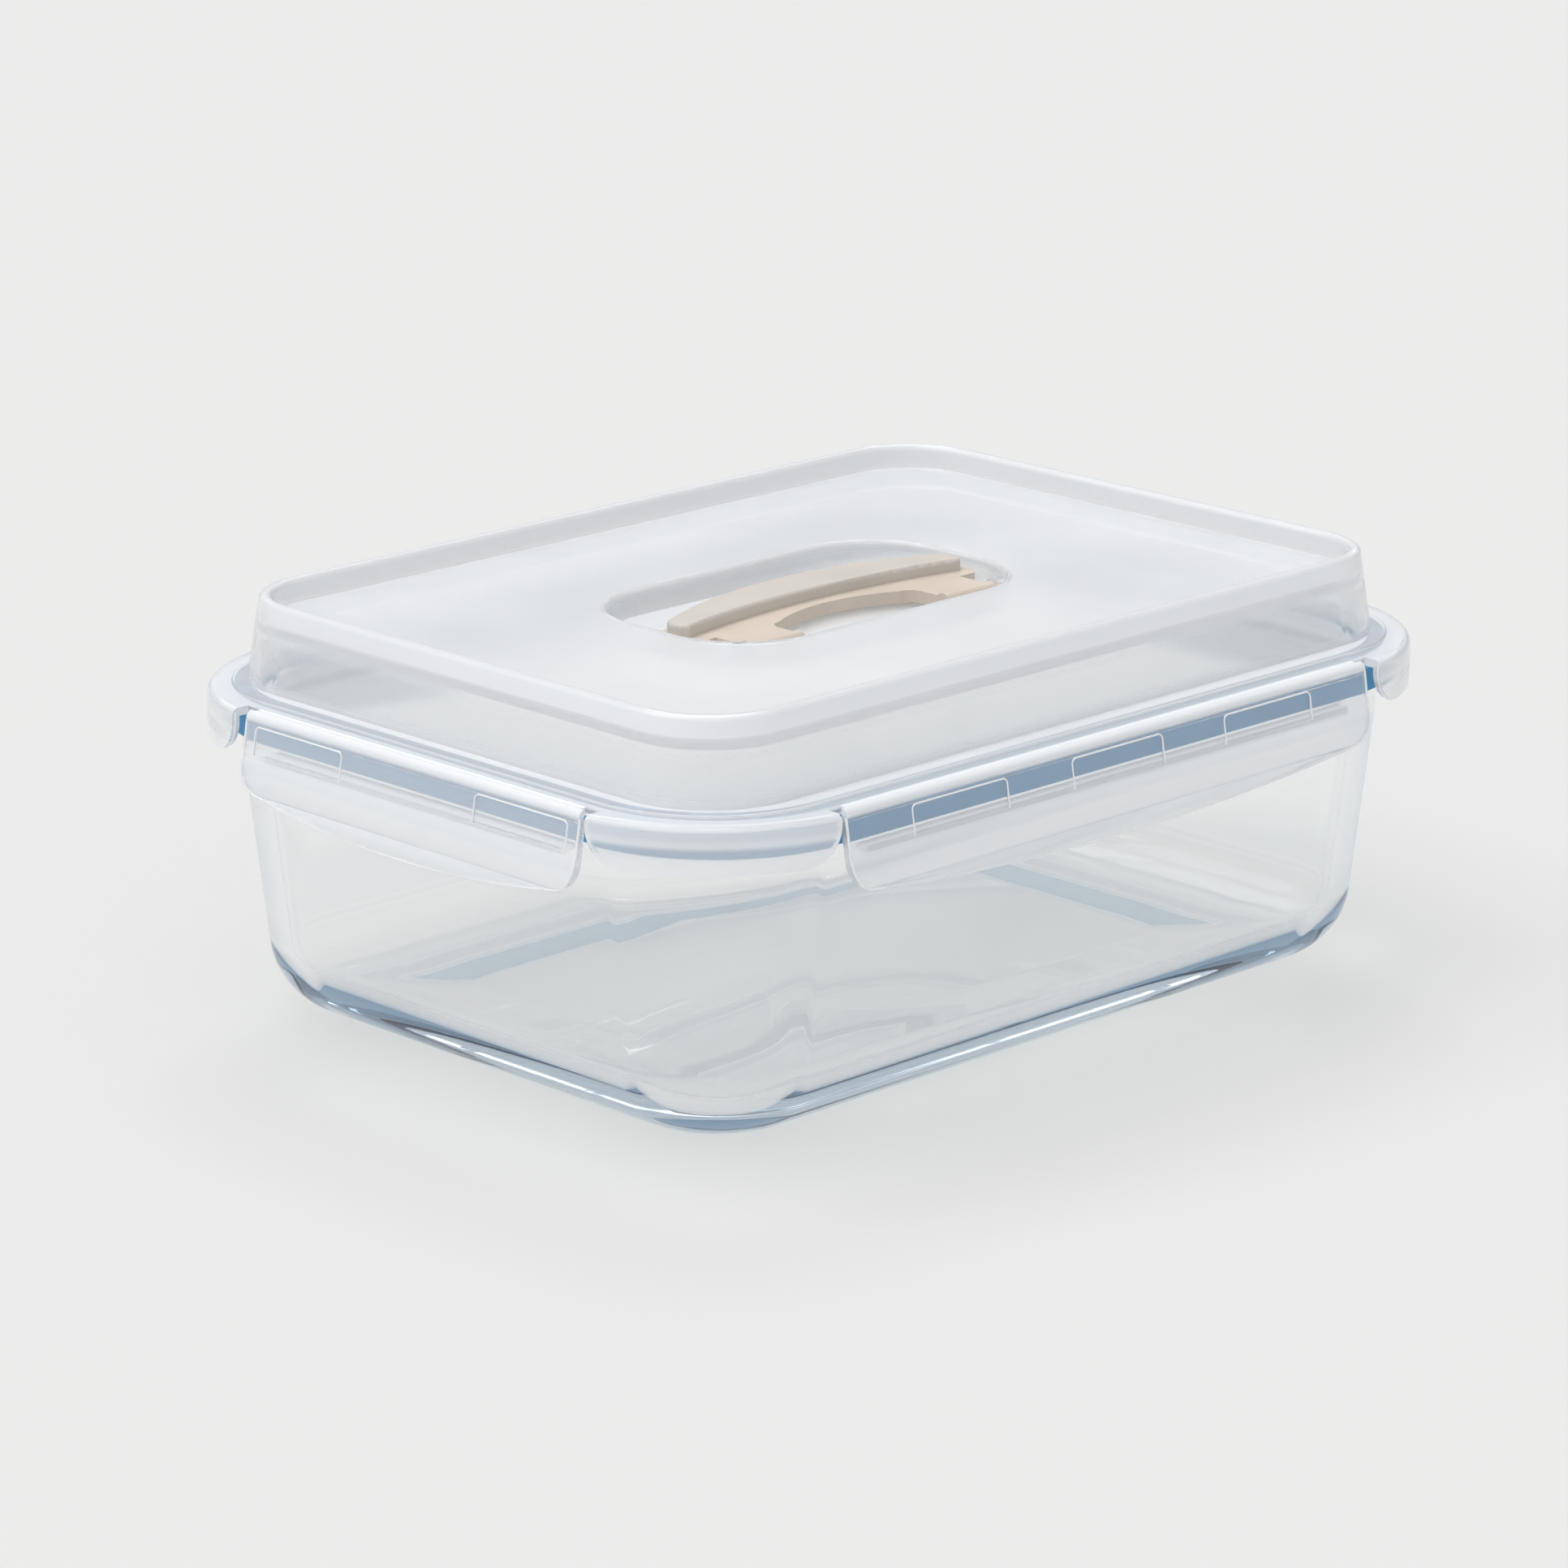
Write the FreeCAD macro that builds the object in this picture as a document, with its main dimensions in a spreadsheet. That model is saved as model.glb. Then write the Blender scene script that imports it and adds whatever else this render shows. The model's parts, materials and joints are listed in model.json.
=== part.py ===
# Snap lid food container: a tapered glass dish, a domed plastic lid with four
# hinged snap flaps, a silicone seal, and a carrying handle folded into the lid.
# Millimetres. +Z is up, X runs along the long side, and the origin is the
# centre of the footprint on the surface that the dish stands on.
import FreeCAD, Part

import math
import os

import Sketcher
from FreeCAD import Placement, Rotation, Vector
from types import SimpleNamespace

SIZES = {
    # glass dish: half sizes are of the outside, at the base plane
    "dish_half_x": 91.15,
    "dish_half_y": 66.2,
    "dish_corner": 22.0,
    "dish_height": 60.6,
    "wall_draft": 6.4,            # degrees, the same inside and outside
    "wall_thick": 4.2,
    "base_thick": 6.4,
    "heel_fillet": 15.0,
    "floor_fillet": 9.0,
    "foot_inset": 23.0,           # from the outside to the hollow under the base
    "foot_depth": 0.8,
    "lip_reach": 1.2,             # how far the lip stands out from the wall
    "lip_height": 3.8,
    "lip_round": 0.9,
    # lid
    "lid_half_x": 105.0,
    "lid_half_y": 79.0,
    "lid_corner": 38.5,
    "flange_top": 64.2,
    "flange_thick": 1.6,
    "flange_round": 1.4,
    "step_reach": 4.2,            # raised step round the dome's foot
    "step_corner": 26.0,
    "step_height": 0.6,
    "skirt_bottom": 55.2,
    "skirt_thick": 1.7,
    "skirt_end_round": 7.0,
    "dome_half_x": 94.0,          # outside of the dome's wall, at the flange
    "dome_half_y": 67.8,
    "dome_corner": 19.0,
    "dome_draft": 8.0,
    "dome_wall": 1.8,
    "lid_top": 81.0,
    "rim_height": 4.6,            # stacking rim above the top plate
    "rim_thick": 2.6,
    "plate_thick": 1.6,
    "plug_gap": 1.6,              # from the glass to the rib that drops inside the dish
    "plug_thick": 1.4,
    "plug_bottom": 57.4,
    # recess for the handle
    "recess_half_x": 40.5,
    "recess_half_y": 23.0,
    "recess_shift": 2.5,          # how far the recess is set back from the lid's middle
    "recess_corner": 17.0,
    "recess_draft": 10.0,
    "recess_depth": 5.0,
    "recess_wall": 1.5,
    "recess_round": 1.0,
    # seal
    "seal_gap": 0.3,              # between the seal and the glass
    "seal_skirt": 0.7,
    "seal_bottom": 57.4,
    "seal_inset": 3.4,            # from the wall's outside to the seal's inner edge
    "seal_cap": 1.1,              # thickness over the glass
    "seal_bead_inset": 1.7,       # from the seal's outside to the bead that meets the lid
    # snap flaps: heights are from the hinge axis
    "hinge_inset": 3.9,           # from the lid's outside to the hinge axis
    "hinge_drop": 0.2,            # from the flange's top to the hinge axis
    "hinge_gap": 0.6,             # from the hinge axis to the flange and to the flap
    "web_thick": 0.4,
    "flap_thick": 1.5,
    "flap_drop": 18.0,            # to the middle of the lower edge
    "flap_bow": 3.0,              # how much higher the lower edge is at its corners
    "flap_corner": 5.5,
    "flap_knee": 1.4,             # depth of the shoulder's inner corner
    "flap_root": 0.9,             # thickness where the flap leaves the hinge
    "shoulder_run": 0.3,          # flat between the hinge gap and the shoulder
    "shoulder_bulge": 0.5,
    "edge_bulge": 0.5,            # roundness of the finger edge
    "lip_hollow": 0.3,
    "flap_stand": 2.0,            # from the hinge axis to the outside of the flap's top
    "flap_shoulder": 2.0,         # height of the shoulder above the flap's straight face
    "flap_lean": 2.0,             # how much further out the top of the finger edge is
    "belly_top": 8.3,             # where the swell of the flap's lower half begins
    "belly_bulge": 0.5,
    "flap_lip": 3.2,              # height of the finger edge
    "flap_flare": 0.6,            # how far the finger edge stands out
    "long_flap_half": 69.4,
    "short_flap_half": 45.1,
    "end_gap": 2.6,               # between a flap and the skirts beside it
    "catch_top": 7.6,
    "catch_height": 1.9,
    "catch_reach": 0.8,           # how far the catch goes in under the glass lip
    "catch_inset": 5.0,           # from the flap's end
    "catch_nose": 0.8,            # height of the catch at its tip
    "catch_chamfer": 0.4,
    "pad_width": 24.2,
    "long_pad_pitch": 41.2,
    "short_pad_pitch": 60.4,
    "pad_depth": 0.4,             # sunk pads on the outside
    "pad_height": 5.4,
    "pad_top": 0.3,               # from the shoulder, along the face
    # handle
    "pivot_y": -14.5,
    "pivot_rise": 2.0,            # from the recess floor to the pins' axis
    "knuckle_radius": 1.8,
    "pin_radius": 1.0,
    "pin_run": 0.06,              # running clearance in the bail
    "pin_length": 9.0,
    "pin_bore": 6.0,              # depth of the hole in the arm
    "pin_proud": 0.6,             # beyond the lug
    "grip_half": 36.8,
    "grip_back": 12.2,            # middle of the grip's back edge
    "grip_back_sag": 8.0,
    "grip_front": -2.0,           # middle of the grip's front edge
    "grip_front_sag": 4.0,
    "grip_end_round": 1.6,
    "arm_half": 32.5,             # outside of the arms
    "arm_width": 13.4,
    "slot_round": 3.0,
    "bail_thick": 2.4,
    "bail_clear": 0.8,            # under the bail when it is folded
    "grip_pad_thick": 2.4,
    "grip_pad_inset": 0.8,
    "grip_pad_ledge": 3.2,        # front edge of the bail that the pad leaves bare
    "grip_pad_round": 0.8,
    "lug_gap": 0.4,
    "lug_thick": 2.6,
    "lug_half": 2.3,
    "lug_root": 0.5,              # how far the lug goes down into the recess floor
}


class Length:
    """A number together with the sheet expression that gives it."""

    def __init__(self, value, text=None):
        self.value = float(value)
        self.text = text or f"({self.value:.10g})"

    def join(self, other, sign, value, flip=False):
        other = to_length(other)
        first, second = (other, self) if flip else (self, other)
        return Length(value(first.value, second.value), f"({first.text} {sign} {second.text})")

    def __add__(self, other):
        return self.join(other, "+", lambda a, b: a + b)

    def __radd__(self, other):
        return self.join(other, "+", lambda a, b: a + b, flip=True)

    def __sub__(self, other):
        return self.join(other, "-", lambda a, b: a - b)

    def __rsub__(self, other):
        return self.join(other, "-", lambda a, b: a - b, flip=True)

    def __mul__(self, other):
        return self.join(other, "*", lambda a, b: a * b)

    def __rmul__(self, other):
        return self.join(other, "*", lambda a, b: a * b, flip=True)

    def __truediv__(self, other):
        return self.join(other, "/", lambda a, b: a / b)

    def __neg__(self):
        return Length(-self.value, f"(0 - {self.text})")


def to_length(number):
    return number if isinstance(number, Length) else Length(number)


def tan(angle):
    return Length(math.tan(math.radians(angle.value)), f"tan({angle.text})")


doc = FreeCAD.newDocument("snap_lid_container")
sheet = doc.addObject("Spreadsheet::Sheet", "Sizes")
for row, (alias, number) in enumerate(SIZES.items(), start=1):
    sheet.set(f"A{row}", alias)
    sheet.set(f"B{row}", str(number))
    sheet.setAlias(f"B{row}", alias)
doc.recompute()
S = SimpleNamespace(**{alias: Length(number, f"<<Sizes>>.{alias}") for alias, number in SIZES.items()})

# rise of an arc over its chord: a quarter round's, per radius, and a little under a half round's,
# which leaves no doubt about the arc's side
QUARTER_RISE = 1 - math.cos(math.radians(45))
HALF_RISE = 0.98

# heights and outlines that several pieces share
FLANGE_UNDER = S.flange_top - S.flange_thick
PLATE_TOP = S.lid_top - S.rim_height
PLATE_UNDER = PLATE_TOP - S.plate_thick
RECESS_FLOOR = PLATE_TOP - S.recess_depth
PIVOT_Z = RECESS_FLOOR + S.pivot_rise
BAIL_UNDER = RECESS_FLOOR + S.bail_clear
WALL_LEAN = S.dish_height * tan(S.wall_draft)


def bind(feature, prop, length):
    feature.setExpression(prop, to_length(length).text)


def dish_outline(offset):
    """Half sizes and corner of the dish's outside at its rim, moved out by offset."""
    return tuple(side + WALL_LEAN + offset for side in (S.dish_half_x, S.dish_half_y, S.dish_corner))


def lid_outline(offset):
    return tuple(side + offset for side in (S.lid_half_x, S.lid_half_y, S.lid_corner))


def dome_outline(offset):
    return tuple(side + offset for side in (S.dome_half_x, S.dome_half_y, S.dome_corner))


def recess_outline(sketch, tag, offset):
    """Draws the recess's outline, set back from the lid's middle and moved out by offset."""
    bind(sketch, "AttachmentOffset.Base.y", S.recess_shift)
    sides = (S.recess_half_x, S.recess_half_y, S.recess_corner)
    rounded_rectangle(sketch, tag, *(side + offset for side in sides))


# ------------------------------------------------------- sketches and features
def new_body(label):
    body = doc.addObject("PartDesign::Body", label)
    body.Label = label
    return body


def plane_of(body, role):
    return next(f for f in body.Origin.OriginFeatures if f.Role == role)


def new_sketch(body, name, role="XY_Plane", offset=None):
    """A sketch on one of the body's own planes, moved along its normal by offset."""
    sketch = body.newObject("Sketcher::SketchObject", name)
    sketch.AttachmentSupport = [(plane_of(body, role), "")]
    sketch.MapMode = "FlatFace"
    if offset is not None:
        bind(sketch, "AttachmentOffset.Base.z", offset)
    return sketch


def drive(sketch, constraint, name, length):
    """Adds a constraint of this length, named and bound to the sheet."""
    sketch.addConstraint(Sketcher.Constraint(*constraint, length.value))
    sketch.renameConstraint(sketch.ConstraintCount - 1, name)
    bind(sketch, "Constraints." + name, length)


def rounded_rectangle(sketch, tag, half_x, half_y, corner):
    """A rounded rectangle centred on the sketch's origin."""
    hx, hy, r = half_x.value, half_y.value, corner.value
    ends = [
        ((r - hx, -hy), (hx - r, -hy)),
        ((hx, r - hy), (hx, hy - r)),
        ((hx - r, hy), (r - hx, hy)),
        ((-hx, hy - r), (-hx, r - hy)),
    ]
    centres = [(hx - r, r - hy), (hx - r, hy - r), (r - hx, hy - r), (r - hx, r - hy)]
    lines, rounds = [], []
    for i, (start, end) in enumerate(ends):
        lines.append(sketch.addGeometry(Part.LineSegment(Vector(*start, 0), Vector(*end, 0))))
        circle = Part.Circle(Vector(*centres[i], 0), Vector(0, 0, 1), r)
        turn = math.radians(270 + 90 * i)
        rounds.append(sketch.addGeometry(Part.ArcOfCircle(circle, turn, turn + math.pi / 2)))
    for i in range(4):
        sketch.addConstraint(Sketcher.Constraint("Tangent", lines[i], 2, rounds[i], 1))
        sketch.addConstraint(Sketcher.Constraint("Tangent", rounds[i], 2, lines[(i + 1) % 4], 1))
        sketch.addConstraint(Sketcher.Constraint("Vertical" if i % 2 else "Horizontal", lines[i]))
        if i:
            sketch.addConstraint(Sketcher.Constraint("Equal", rounds[0], rounds[i]))
    sketch.addConstraint(Sketcher.Constraint("Symmetric", lines[0], 1, lines[2], 1, -1, 1))
    drive(sketch, ("Radius", rounds[0]), tag + "_corner", corner)
    drive(sketch, ("DistanceX", lines[3], 1, lines[1], 1), tag + "_length", 2 * half_x)
    drive(sketch, ("DistanceY", lines[0], 1, lines[2], 1), tag + "_width", 2 * half_y)


def ring_sketch(body, name, outside, inset, offset=None):
    """A rounded rectangular ring, inset wide."""
    sketch = new_sketch(body, name, offset=offset)
    rounded_rectangle(sketch, "outer", *outside)
    rounded_rectangle(sketch, "inner", *(side - inset for side in outside))
    return sketch


def outline(sketch, tag, points, bulges=None):
    """A closed chain through the points, anticlockwise. bulges maps a segment to the height
    of the arc that takes its place, positive where it bulges outward."""
    bulges = bulges or {}
    points = [(to_length(x), to_length(y)) for x, y in points]
    count = len(points)
    chain = []
    for i, (x, y) in enumerate(points):
        a = Vector(x.value, y.value, 0)
        b = Vector(points[(i + 1) % count][0].value, points[(i + 1) % count][1].value, 0)
        if i not in bulges:
            chain.append((sketch.addGeometry(Part.LineSegment(a, b)), 1, 2))
            continue
        rise = bulges[i].value
        along = (b - a).normalize()
        middle = (a + b) * 0.5 + Vector(along.y, -along.x, 0) * rise
        ends = (1, 2) if rise > 0 else (2, 1)
        chain.append((sketch.addGeometry(Part.Arc(a, middle, b)), *ends))
    for i, (piece, start, end) in enumerate(chain):
        after, begin, _ = chain[(i + 1) % count]
        sketch.addConstraint(Sketcher.Constraint("Coincident", piece, end, after, begin))
    for i, (x, y) in enumerate(points):
        piece, start, _ = chain[i]
        for length, kind, flat in ((x, "DistanceX", "Vertical"), (y, "DistanceY", "Horizontal")):
            if abs(length.value) < 1e-9:
                sketch.addConstraint(Sketcher.Constraint(flat, -1, 1, piece, start))
            else:
                drive(sketch, (kind, -1, 1, piece, start), f"{tag}_{kind[-1].lower()}{i}", length)
        if i in bulges:
            next_x, next_y = points[(i + 1) % count]
            rise = bulges[i] if bulges[i].value > 0 else -bulges[i]
            run_x, run_y = next_x - x, next_y - y
            radius = ((run_x * run_x + run_y * run_y) / 4 + rise * rise) / (2 * rise)
            drive(sketch, ("Radius", piece), f"{tag}_r{i}", radius)


def rectangle(sketch, tag, left, low, right, high):
    outline(sketch, tag, [(left, low), (right, low), (right, high), (left, high)])


def circle_at(sketch, tag, across, up, radius):
    centre = Vector(across.value, up.value, 0)
    ring = sketch.addGeometry(Part.Circle(centre, Vector(0, 0, 1), radius.value))
    drive(sketch, ("Radius", ring), tag + "_radius", radius)
    drive(sketch, ("DistanceX", -1, 1, ring, 3), tag + "_across", across)
    drive(sketch, ("DistanceY", -1, 1, ring, 3), tag + "_up", up)


def pad(body, sketch, name, length, taper=None, midplane=False, down=False):
    feature = body.newObject("PartDesign::Pad", name)
    feature.Profile = sketch
    bind(feature, "Length", length)
    if taper is not None:
        bind(feature, "TaperAngle", taper)
    feature.Midplane = midplane
    feature.Reversed = down
    doc.recompute()
    return feature


def pocket(body, sketch, name, length, taper=None, midplane=False, forward=False):
    """Cuts against the sketch's normal, or along it with forward. It must remove something."""
    before = body.Shape.Volume
    feature = body.newObject("PartDesign::Pocket", name)
    feature.Profile = sketch
    bind(feature, "Length", length)
    if taper is not None:
        bind(feature, "TaperAngle", taper)
    feature.Midplane = midplane
    feature.Reversed = forward
    doc.recompute()
    if body.Shape.Volume > before - 0.5:
        raise RuntimeError(f"{name} cut nothing")
    return feature


def mirror(body, original, name, role):
    feature = body.newObject("PartDesign::Mirrored", name)
    feature.Originals = [original]
    feature.MirrorPlane = (plane_of(body, role), [""])
    body.Tip = feature
    doc.recompute()


def fillet(body, name, radius, keep):
    """Rounds the edges of the body so far whose bounding box passes keep."""
    base = body.Tip
    edges = [f"Edge{i}" for i, edge in enumerate(base.Shape.Edges, start=1) if keep(edge.BoundBox)]
    if not edges:
        raise RuntimeError(f"{name} found no edge")
    feature = body.newObject("PartDesign::Fillet", name)
    feature.Base = (base, edges)
    bind(feature, "Radius", radius)
    doc.recompute()
    if "Invalid" in feature.State or feature.Shape.isNull():
        raise RuntimeError(f"{name} failed on {len(edges)} edges")


def at_height(height, box):
    return abs(box.ZMin - height.value) < 0.03 and abs(box.ZMax - height.value) < 0.03


def reach(box):
    """How far the box reaches from the centre along X and along Y."""
    return max(abs(box.XMin), abs(box.XMax)), max(abs(box.YMin), abs(box.YMax))


# ------------------------------------------------------------------ glass dish
def glass_dish():
    body = new_body("glass_dish")
    outside = new_sketch(body, "dish_outside")
    rounded_rectangle(outside, "dish", S.dish_half_x, S.dish_half_y, S.dish_corner)
    pad(body, outside, "dish_block", S.dish_height, taper=S.wall_draft)
    fillet(body, "heel", S.heel_fillet, lambda box: at_height(Length(0), box))

    lip_under = S.dish_height - S.lip_height
    lip = new_sketch(body, "dish_lip", offset=lip_under)
    rounded_rectangle(lip, "lip", *dish_outline(S.lip_reach))
    pad(body, lip, "lip_band", S.lip_height)

    mouth = new_sketch(body, "dish_mouth", offset=S.dish_height)
    rounded_rectangle(mouth, "mouth", *dish_outline(-S.wall_thick))
    pocket(body, mouth, "cavity", S.dish_height - S.base_thick, taper=-S.wall_draft)
    fillet(body, "floor_round", S.floor_fillet, lambda box: at_height(S.base_thick, box))

    foot = new_sketch(body, "dish_foot")
    half_x, half_y = S.dish_half_x - S.foot_inset, S.dish_half_y - S.foot_inset
    rounded_rectangle(foot, "foot", half_x, half_y, S.dish_corner / 2)
    pocket(body, foot, "foot_hollow", S.foot_depth, forward=True)

    wall_x = (S.dish_half_x + lip_under * tan(S.wall_draft)).value
    wall_y = (S.dish_half_y + lip_under * tan(S.wall_draft)).value

    def on_lip(box):
        if at_height(S.dish_height, box):
            return True
        far_x, far_y = reach(box)
        outside = far_x > wall_x + 0.1 or far_y > wall_y + 0.1
        return at_height(lip_under, box) and outside

    fillet(body, "lip_rounds", S.lip_round, on_lip)
    return body


# ------------------------------------------------------------------- lid shell
def lid_shell():
    body = new_body("lid_shell")
    flange = new_sketch(body, "flange_outline", offset=FLANGE_UNDER)
    rounded_rectangle(flange, "flange", *lid_outline(0))
    pad(body, flange, "flange_plate", S.flange_thick)
    fillet(body, "flange_edge", S.flange_round, lambda box: at_height(S.flange_top, box))
    skirt = ring_sketch(body, "skirt_ring", lid_outline(0), S.skirt_thick, offset=FLANGE_UNDER)
    pad(body, skirt, "skirt", FLANGE_UNDER - S.skirt_bottom, down=True)
    flap_notches(body)

    step = new_sketch(body, "step_outline", offset=S.flange_top)
    rounded_rectangle(step, "step", *dome_outline(S.step_reach)[:2], S.step_corner)
    pad(body, step, "step_plate", S.step_height)
    step_top = S.flange_top + S.step_height
    fillet(body, "step_edge", S.step_height / 2, lambda box: at_height(step_top, box))

    dome = new_sketch(body, "dome_foot", offset=S.flange_top)
    rounded_rectangle(dome, "dome", *dome_outline(0))
    dome_height = S.lid_top - S.flange_top
    pad(body, dome, "dome_block", dome_height, taper=-S.dome_draft)
    stack = new_sketch(body, "stacking_well", offset=S.lid_top)
    rounded_rectangle(stack, "well", *dome_outline(-(dome_height * tan(S.dome_draft)) - S.rim_thick))
    pocket(body, stack, "stacking_floor", S.rim_height)
    fillet(body, "rim_round", S.rim_thick / 2 - 0.1, lambda box: at_height(S.lid_top, box))

    inside = new_sketch(body, "dome_inside", offset=FLANGE_UNDER)
    rounded_rectangle(inside, "inside", *dome_outline(S.flange_thick * tan(S.dome_draft) - S.dome_wall))
    pocket(body, inside, "dome_hollow", PLATE_UNDER - FLANGE_UNDER, taper=-S.dome_draft, forward=True)

    pan = new_sketch(body, "recess_pan", offset=PLATE_UNDER)
    recess_outline(pan, "pan", S.recess_wall - S.plate_thick * tan(S.recess_draft))
    pan_depth = PLATE_UNDER - RECESS_FLOOR + S.recess_wall
    pad(body, pan, "recess_pan_block", pan_depth, taper=-S.recess_draft, down=True)
    well = new_sketch(body, "recess_mouth", offset=PLATE_TOP)
    recess_outline(well, "recess", 0)
    pocket(body, well, "recess", S.recess_depth, taper=-S.recess_draft)
    within_x, within_y = S.recess_half_x.value + 1, (S.recess_half_y + S.recess_shift).value + 1

    def on_mouth(box):
        far_x, far_y = reach(box)
        return at_height(PLATE_TOP, box) and far_x < within_x and far_y < within_y

    fillet(body, "recess_mouth_round", S.recess_round, on_mouth)

    plug = ring_sketch(
        body, "plug_ring", dish_outline(-S.wall_thick - S.plug_gap), S.plug_thick, offset=FLANGE_UNDER
    )
    pad(body, plug, "plug_rib", FLANGE_UNDER - S.plug_bottom, down=True)
    handle_lugs(body)
    return body


def flap_notches(body):
    """Cuts the flange and skirt away where the flaps hang, and rounds the skirts' lower ends."""
    above, below = S.flange_top + 2, S.skirt_bottom - 2
    start = S.skirt_bottom + S.skirt_end_round
    for side, flap_half, lid_half, role, mirror_role in (
        ("long", S.long_flap_half, S.lid_half_y, "XZ_Plane", "XZ_Plane"),
        ("short", S.short_flap_half, S.lid_half_x, "YZ_Plane", "YZ_Plane"),
    ):
        near, far = flap_half + S.end_gap, flap_half + S.end_gap + S.skirt_end_round
        cut = new_sketch(body, side + "_notch", role, lid_half - S.hinge_inset - S.hinge_gap)
        corner = -QUARTER_RISE * S.skirt_end_round
        outline(
            cut, "notch",
            [
                (-near, above), (-near, start), (-far, S.skirt_bottom), (-far, below),
                (far, below), (far, S.skirt_bottom), (near, start), (near, above),
            ],
            bulges={1: corner, 5: corner},
        )
        opening = pocket(body, cut, side + "_opening", S.hinge_inset + S.hinge_gap + 2, forward=True)
        mirror(body, opening, side + "_openings", mirror_role)


def handle_lugs(body):
    """Two lugs on the recess floor, outside the handle's arms, bored for its pins."""
    inner, root = S.arm_half + S.lug_gap, RECESS_FLOOR - S.lug_root
    lug = new_sketch(body, "lug_side", "YZ_Plane", inner)
    outline(
        lug, "lug",
        [
            (S.pivot_y - S.lug_half, root), (S.pivot_y + S.lug_half, root),
            (S.pivot_y + S.lug_half, PIVOT_Z), (S.pivot_y - S.lug_half, PIVOT_Z),
        ],
        bulges={2: HALF_RISE * S.lug_half},
    )
    right = pad(body, lug, "lug_right", S.lug_thick)
    mirror(body, right, "lugs", "YZ_Plane")
    bore = new_sketch(body, "lug_bore", "YZ_Plane")
    circle_at(bore, "bore", S.pivot_y, PIVOT_Z, S.pin_radius)
    pocket(body, bore, "lug_bores", 2 * (inner + S.lug_thick), midplane=True)


# ------------------------------------------------------------------------ seal
def lid_seal():
    """A silicone ring over the glass rim: a bead that meets the lid, a cap, and a skirt that
    hangs outside the lip."""
    body = new_body("lid_seal")
    rest = S.dish_height + S.seal_gap
    reach_out = S.lip_reach + S.seal_gap + S.seal_skirt
    outside = dish_outline(reach_out)
    cap = ring_sketch(body, "seal_cap_ring", outside, reach_out + S.seal_inset, offset=rest)
    pad(body, cap, "seal_cap", S.seal_cap)
    bead_width = reach_out + S.seal_inset - S.seal_bead_inset
    bead_outside = dish_outline(reach_out - S.seal_bead_inset)
    bead = ring_sketch(body, "seal_bead_ring", bead_outside, bead_width, offset=rest)
    pad(body, bead, "seal_bead", FLANGE_UNDER - rest)
    skirt = ring_sketch(body, "seal_skirt_ring", outside, S.seal_skirt, offset=rest)
    pad(body, skirt, "seal_skirt", rest - S.seal_bottom, down=True)
    fillet(body, "seal_round", S.seal_skirt / 3, lambda box: at_height(S.seal_bottom, box))
    return body


# ----------------------------------------------------------------------- flaps
def flap_place(turn, lid_half):
    """A flap's own frame: the hinge axis is its X, and outward is its -Y."""
    rotation = Rotation(Vector(0, 0, 1), turn)
    hinge_z = (S.flange_top - S.hinge_drop).value
    return Placement(rotation.multVec(Vector(0, (S.hinge_inset - lid_half).value, hinge_z)), rotation)


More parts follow.
